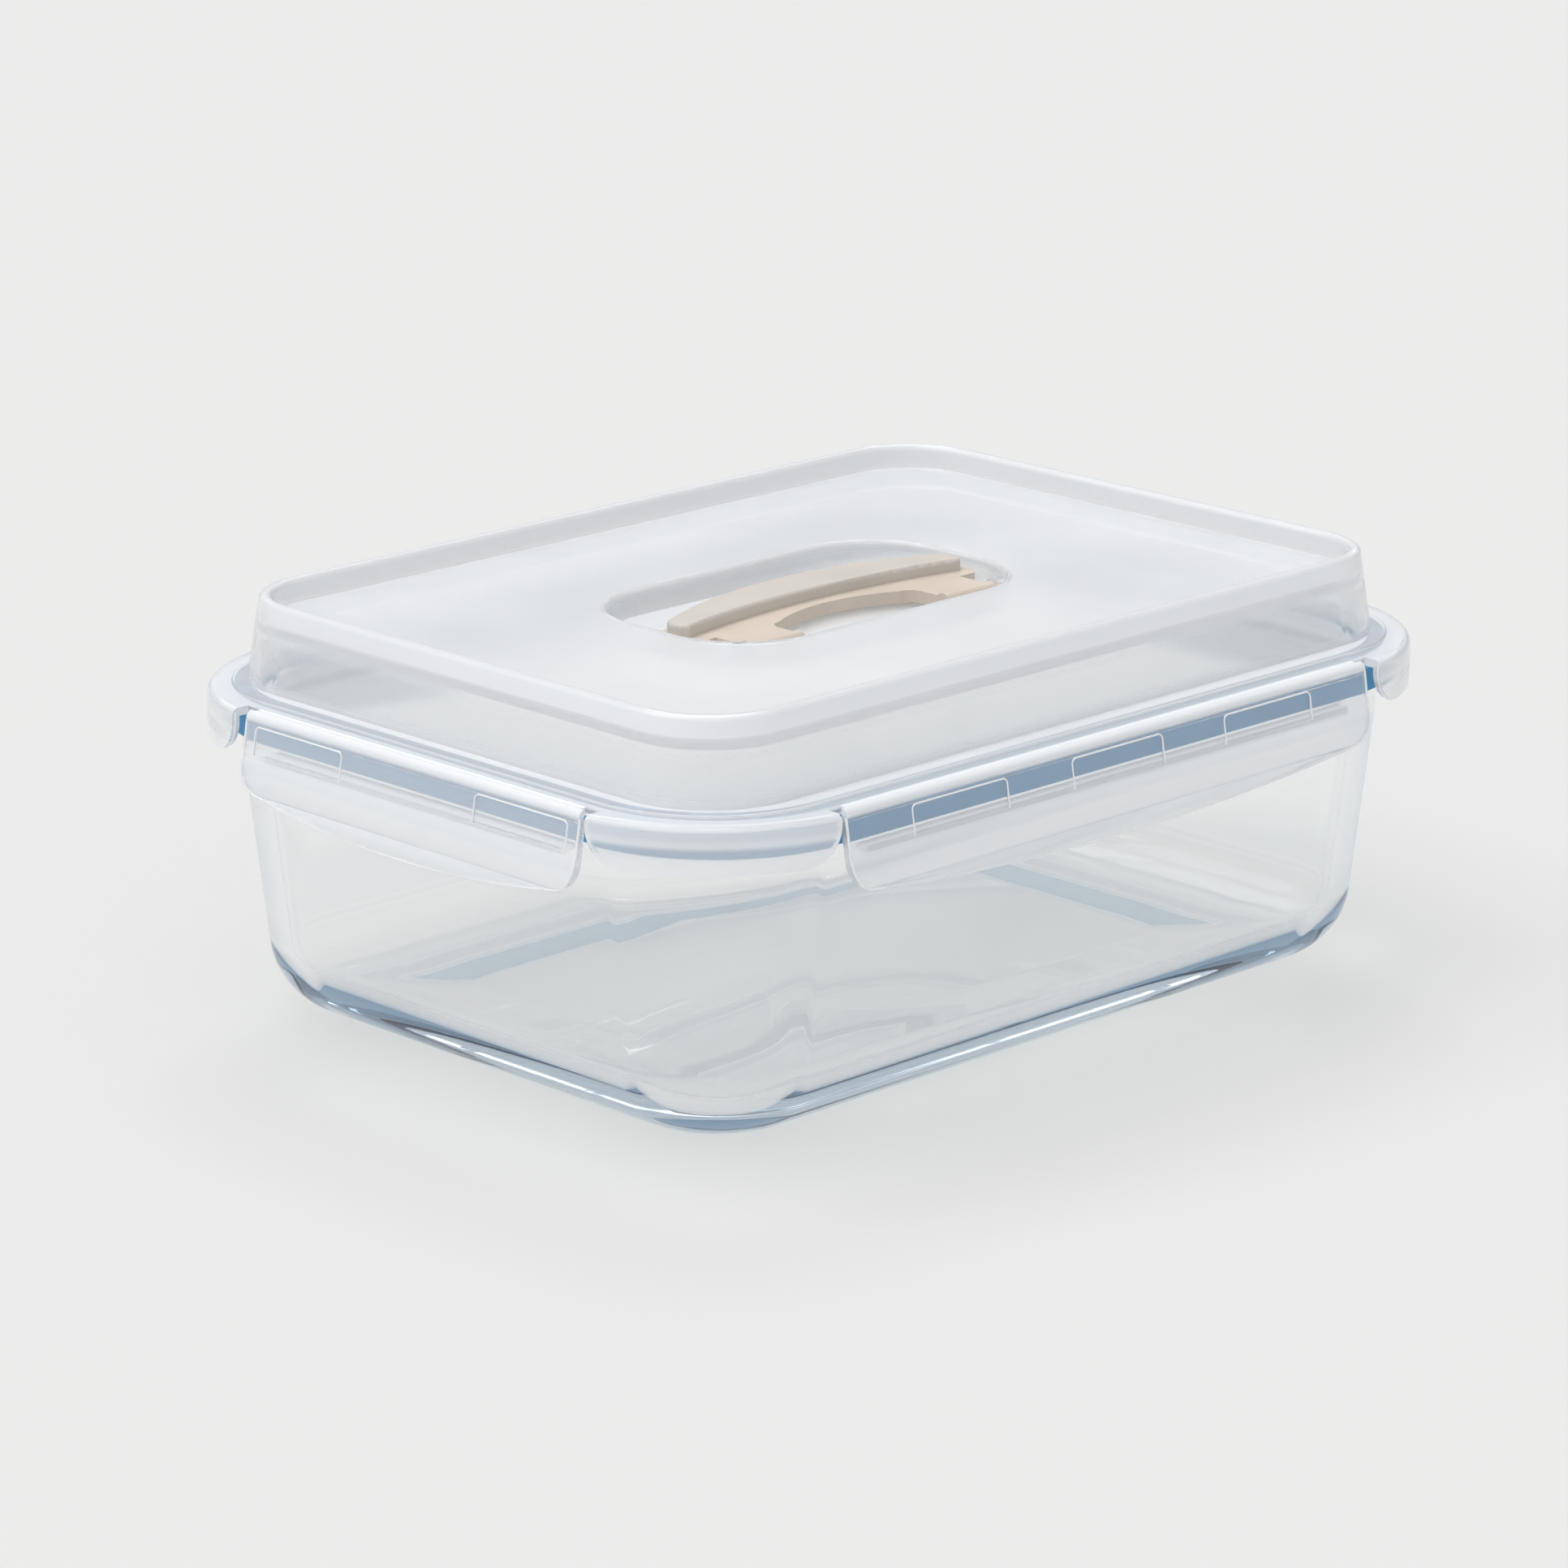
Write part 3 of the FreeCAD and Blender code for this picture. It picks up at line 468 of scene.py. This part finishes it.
def beads(name, paths, radius, material):
    """Thin raised moulding lines that follow the paths, given in metres."""
    curve = bpy.data.curves.new(name, "CURVE")
    curve.dimensions = "3D"
    curve.bevel_depth = radius * MM
    curve.bevel_resolution = 2
    curve.use_fill_caps = True
    for path in paths:
        spline = curve.splines.new("POLY")
        spline.points.add(len(path) - 1)
        for point, place in zip(spline.points, path):
            point.co = (*place, 1)
    curve.materials.append(material)
    piece = bpy.data.objects.new(name, curve)
    SCENE.collection.objects.link(piece)
    return piece


# ------------------------------------------------------------------- glass dish
def dish_profile(height):
    """The dish's section from the middle of its underside, up the outside, over the lip and down
    to the middle of its floor: offsets from the outline at the base, and heights."""
    draft = math.atan(DISH_DRAFT)
    lean = math.degrees(draft)
    heel_x = HEEL_ROUND * (math.sin(draft) - 1) / math.cos(draft)
    rim = height * DISH_DRAFT
    lip_low = height - DISH_LIP_HEIGHT
    lip_out = rim + DISH_LIP_REACH
    r = DISH_LIP_ROUND
    inner_rim = rim - DISH_WALL
    floor_z = DISH_BASE + FLOOR_ROUND
    floor_x = inner_rim - (height - floor_z) * DISH_DRAFT - FLOOR_ROUND / math.cos(draft)
    profile = []
    for i in range(FOOT_STEPS, 0, -1):
        ease = (1 - math.cos(math.pi * i / FOOT_STEPS)) / 2
        profile.append((-FOOT_INSET - FOOT_SLOPE * ease, FOOT_DEPTH * ease))
    profile += [(-FOOT_INSET, 0), (FOOT_FLAT - FOOT_INSET, 0)]
    profile += arc((heel_x, HEEL_ROUND), HEEL_ROUND, -90, -lean, 14)
    profile += [(z * DISH_DRAFT, z) for z in (*OUTER_RINGS, lip_low - 0.5)]
    profile += [(lip_low * DISH_DRAFT + LIP_FILLET, lip_low), (lip_out - r - CREASE, lip_low)]
    profile += arc((lip_out - r, lip_low + r), r, -90, 0, 4)
    profile += arc((lip_out - r, height - r), r, 0, 90, 4)
    profile += arc((inner_rim + r, height - r), r, 90, 180, 4)
    profile += [(inner_rim - (height - z) * DISH_DRAFT, z) for z in INNER_RINGS]
    profile += arc((floor_x, floor_z), FLOOR_ROUND, -lean, -90, 10)
    profile += [(-FOOT_INSET, DISH_BASE)]
    return profile


def glass_dish(material):
    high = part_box("glass_dish")[1]
    height = high.z / MM
    lip_out = height * DISH_DRAFT + DISH_LIP_REACH
    half_x, half_y = high.x / MM - lip_out, high.y / MM - lip_out
    rings = [
        rounded_ring(half_x + out, half_y + out, max(DISH_CORNER + out, LEAST_CORNER), z)
        for out, z in dish_profile(height)
    ]
    dish = loft("glass_dish_body", rings, material)
    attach(dish, "dish")
    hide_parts("glass_dish")
    return half_x, half_y, height


def lid_seal(half_x, half_y, height, material):
    """The silicone ring, with every corner of its section soft."""
    rim = height * DISH_DRAFT
    rest, low = height + SEAL_GAP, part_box("lid_seal")[0].z / MM
    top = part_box("lid_seal")[1].z / MM
    bead_out = SEAL_OUT - SEAL_BEAD_INSET
    section = round_corners([
        (SEAL_IN, rest), (SEAL_OUT - SEAL_SKIRT, rest), (SEAL_OUT - SEAL_SKIRT, low), (SEAL_OUT, low),
        (SEAL_OUT, rest + SEAL_CAP), (bead_out, rest + SEAL_CAP), (bead_out, top), (SEAL_IN, top),
    ], SEAL_SOFTNESS)
    rings = [
        rounded_ring(half_x + rim + out, half_y + rim + out, DISH_CORNER + rim + out, z)
        for out, z in section
    ]
    seal = loft("lid_seal_ring", rings, material, loop=True, sharp=60)
    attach(seal, "lid")
    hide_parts("lid_seal")


# ------------------------------------------------------------------------ flaps
def side_kind(side):
    return "long" if side in ("front", "back") else "short"


def flap_frame(side):
    """The hinge's middle, the direction along it and the direction out of the lid."""
    middle = Vector(JOINTS[side + "_flap_hinge"]["pos_m"])
    out = Vector((middle.x, middle.y, 0)).normalized()
    along = Vector((-out.y, out.x, 0))
    return middle, along, out


def flap_point(side, along_mm, out_mm, up_mm):
    middle, along, out = flap_frame(side)
    return middle + along * along_mm * MM + out * out_mm * MM + Vector((0, 0, up_mm * MM))


def face_out(up):
    """How far out the flap's outside is at this height below its hinge."""
    if up > FACE_LOW:
        flat = FACE_TOP_OUT + (FACE_LOW_OUT - FACE_TOP_OUT) * (FACE_TOP - up) / (FACE_TOP - FACE_LOW)
        part = min(max((BELLY_TOP - up) / (BELLY_TOP - FACE_LOW), 0), 1)
        return flat + BELLY_BULGE * 4 * part * (1 - part)
    return FACE_LOW_OUT + (LIP_LOW_OUT - FACE_LOW_OUT) * (FACE_LOW - up) / LIP_DROP + LIP_PROUD


def flap_half(side):
    """Half of the flap's length."""
    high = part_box("snap_flap_" + side)[1]
    return (high.x if side_kind(side) == "long" else high.y) / MM


def hinge_strip(side, material):
    """The thin bridge from the flange to the flap."""
    half = flap_half(side) - STRIP_INSET
    near = -HINGE_GAP - STRIP_OVER_FLANGE
    far = HINGE_GAP + STRIP_OVER_FLAP
    upper = []
    for i in range(STRIP_STEPS + 1):
        groove = STRIP_GROOVE * math.sin(math.pi * i / STRIP_STEPS)
        upper.append((near + (far - near) * i / STRIP_STEPS, STRIP_TOP - groove))
    lower = [(x, z - STRIP_THICK) for x, z in reversed(upper)]
    rings = [
        [flap_point(side, along, out, up) for out, up in upper + lower]
        for along in (-half, -half / 2, 0, half / 2, half)
    ]
    strip = loft("hinge_strip_" + side, rings, material, sharp=50)
    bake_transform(strip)
    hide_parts("hinge_web_" + side)


def window_path(side, centre):
    """The rounded outline of one sunk pad, open at the bottom."""
    left = centre - PAD_WIDTH / 2
    right = centre + PAD_WIDTH / 2
    top = FACE_TOP - PAD_TOP
    low = top - PAD_HEIGHT
    turn = PAD_CORNER
    flat = [(left, low)]
    flat += arc((left + turn, top - turn), turn, 180, 90, 5)
    flat += arc((right - turn, top - turn), turn, 90, 0, 5)
    flat += [(right, low)]
    return [flap_point(side, along, face_out(up), up) for along, up in flat]


def rim_path(side):
    """The flap's edge, down one end, along the bowed foot and up the other end."""
    half = flap_half(side)
    low = (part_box("snap_flap_" + side)[0].z - flap_frame(side)[0].z) / MM
    corner_z = low + FLAP_BOW + FLAP_CORNER
    foot = half - FLAP_CORNER
    top = FACE_TOP + EDGE_ABOVE_FACE
    one_end = [(-half, top - (top - corner_z) * i / 6) for i in range(6)]
    one_end += arc((-foot, corner_z), FLAP_CORNER, 180, 270, 7)
    bow_radius = (foot * foot + FLAP_BOW * FLAP_BOW) / (2 * FLAP_BOW)
    spread = math.degrees(math.asin(foot / bow_radius))
    bow = arc((0, low + bow_radius), bow_radius, 270 - spread, 270 + spread, 24)[1:-1]
    other_end = [(-along, up) for along, up in reversed(one_end)]
    return [
        flap_point(side, along, face_out(up) - EDGE_BEAD_SINK, up)
        for along, up in one_end + bow + other_end
    ]


def flap_details(side, material):
    """The raised lines round the sunk pads, and the bead along the flap's edge. Their white is partly a
    painted highlight for the bright edge lines.
    """
    paths = [window_path(side, centre) for centre in PAD_CENTRES[side_kind(side)]]
    windows = beads("window_lines_" + side, paths, WINDOW_BEAD, material)
    edge = beads("edge_bead_" + side, [rim_path(side)], EDGE_BEAD, material)
    for piece in (windows, edge):
        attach(piece, "flap_" + side)


# ------------------------------------------------------------------ lid details
def lid_edge(across, half, other_half):
    """How far out the lid's side is at this distance along it."""
    start = other_half - LID_CORNER
    if across <= start:
        return half
    return half - LID_CORNER + math.sqrt(LID_CORNER ** 2 - (across - start) ** 2)


def skirt_end_beads(material):
    """The moulded edge down the end of each corner skirt, beside a flap. It is a raised bead whose white
    is partly a painted highlight for the bright end line.
    """
    low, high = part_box("lid_shell")
    half_x = high.x / MM
    half_y = high.y / MM
    skirt_low = low.z / MM
    paths = []
    for side, half, other in (("front", half_y, half_x), ("left", half_x, half_y)):
        near = flap_half(side) + END_GAP
        flat = [(near, SKIRT_TOP), (near, skirt_low + SKIRT_END_ROUND + 1)]
        flat += arc((near + SKIRT_END_ROUND, skirt_low + SKIRT_END_ROUND), SKIRT_END_ROUND, 180, 262, 8)
        for mirror_along in (-1, 1):
            for mirror_out in (-1, 1):
                path = []
                for along, z in flat:
                    out = (lid_edge(along, half, other) - SKIRT_BEAD_SINK) * mirror_out
                    place = (along * mirror_along, out) if side == "front" else (out, along * mirror_along)
                    path.append((place[0] * MM, place[1] * MM, z * MM))
                paths.append(path)
    piece = beads("skirt_end_beads", paths, SKIRT_BEAD, material)
    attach(piece, "lid")


# ------------------------------------------------------------- floor and light
def add_floor():
    mesh = bpy.data.meshes.new("floor")
    reach = FLOOR_REACH
    corners = [(-reach, -reach, 0), (reach, -reach, 0), (reach, reach, 0), (-reach, reach, 0)]
    mesh.from_pydata(corners, [], [(0, 1, 2, 3)])
    floor = bpy.data.objects.new("floor", mesh)
    SCENE.collection.objects.link(floor)
    floor.location.z = -FLOOR_DROP
    material, nodes, links = new_material("pale_floor")
    shader = add_node(
        nodes, "ShaderNodeBsdfPrincipled",
        **{"Base Color": (0.71, 0.71, 0.70, 1), "Roughness": 0.7, "Specular IOR Level": 0.1},
    )
    links.new(shader.outputs[0], nodes.new("ShaderNodeOutputMaterial").inputs["Surface"])
    mesh.materials.append(material)


def add_studio():
    """Light from all round, bluer and darker just above the horizon, before a pale backdrop."""
    world = bpy.data.worlds.new("studio")
    SCENE.world = world
    world.use_nodes = True
    nodes, links = world.node_tree.nodes, world.node_tree.links
    nodes.clear()
    where = nodes.new("ShaderNodeTexCoord").outputs["Generated"]
    split = nodes.new("ShaderNodeSeparateXYZ")
    links.new(where, split.inputs[0])
    ramp = nodes.new("ShaderNodeValToRGB")
    links.new(split.outputs["Z"], ramp.inputs["Fac"])
    fill_ramp(ramp.color_ramp.elements, HORIZON_TO_ZENITH)
    light = add_node(nodes, "ShaderNodeBackground", Strength=STUDIO_STRENGTH)
    links.new(ramp.outputs["Color"], light.inputs["Color"])
    backdrop = add_node(
        nodes, "ShaderNodeBackground", Color=(1.0, 1.0, 0.99, 1), Strength=BACKDROP_STRENGTH
    )
    mix = nodes.new("ShaderNodeMixShader")
    links.new(nodes.new("ShaderNodeLightPath").outputs["Is Camera Ray"], mix.inputs["Fac"])
    links.new(light.outputs[0], mix.inputs[1])
    links.new(backdrop.outputs[0], mix.inputs[2])
    links.new(mix.outputs[0], nodes.new("ShaderNodeOutputWorld").inputs["Surface"])


def add_suns():
    for name, (energy, width, turn) in SUNS.items():
        sun = bpy.data.lights.new(name, "SUN")
        sun.energy = energy
        sun.angle = math.radians(width)
        lamp = bpy.data.objects.new(name, sun)
        SCENE.collection.objects.link(lamp)
        lamp.rotation_euler = [math.radians(angle) for angle in turn]


# ------------------------------------------------------------------- the making
add_camera()
add_floor()
add_studio()
add_suns()
SCENE.view_settings.view_transform = "Standard"

shell = polypropylene(
    "lid_polypropylene", SHELL_CLEARNESS, SHELL_ROUGH,
    milky_box=(RECESS_MIDDLE, RECESS_REACH, RECESS_CLEARNESS),
)
flaps = {
    kind: polypropylene(kind + "_flap_polypropylene", stops, FLAP_ROUGH)
    for kind, stops in FLAP_CLEARNESS.items()
}
# milky plastic for the hinge strips; on the window, edge and skirt-end beads its white is also a painted
# highlight for the bright edge lines
milky_and_highlight = polypropylene("milky_and_highlight_polypropylene", MILKY_AND_HIGHLIGHT_CLEARNESS, MILKY_ROUGH)
silicone = solid_material(
    "blue_silicone", srgb(72, 142, 186), srgb(62, 130, 175), 0.4, 700, 0.00005
)
beige_plastic = solid_material(
    "beige_plastic", srgb(216, 202, 188), srgb(207, 193, 178), 0.35, 1500, 0.00004
)
beige_grip = solid_material(
    "beige_grip", srgb(205, 198, 190), srgb(198, 191, 182), 0.45, 1200, 0.00006
)
steel = solid_material(
    "pin_steel", srgb(190, 190, 192), srgb(170, 170, 172), 0.3, 2500, 0.00002, Metallic=1.0
)

paint("lid_shell", shell)
half_x, half_y, height = glass_dish(glass_material())
lid_seal(half_x, half_y, height, silicone)
for side in SIDES:
    paint("snap_flap_" + side, flaps[side_kind(side)])
    hinge_strip(side, milky_and_highlight)
    flap_details(side, milky_and_highlight)
skirt_end_beads(milky_and_highlight)

paint("handle_bail", beige_plastic)
soften_edges("handle_bail", BAIL_EDGE)
paint("handle_grip_pad", beige_grip)
for end in ("left", "right"):
    paint("handle_pin_" + end, steel)
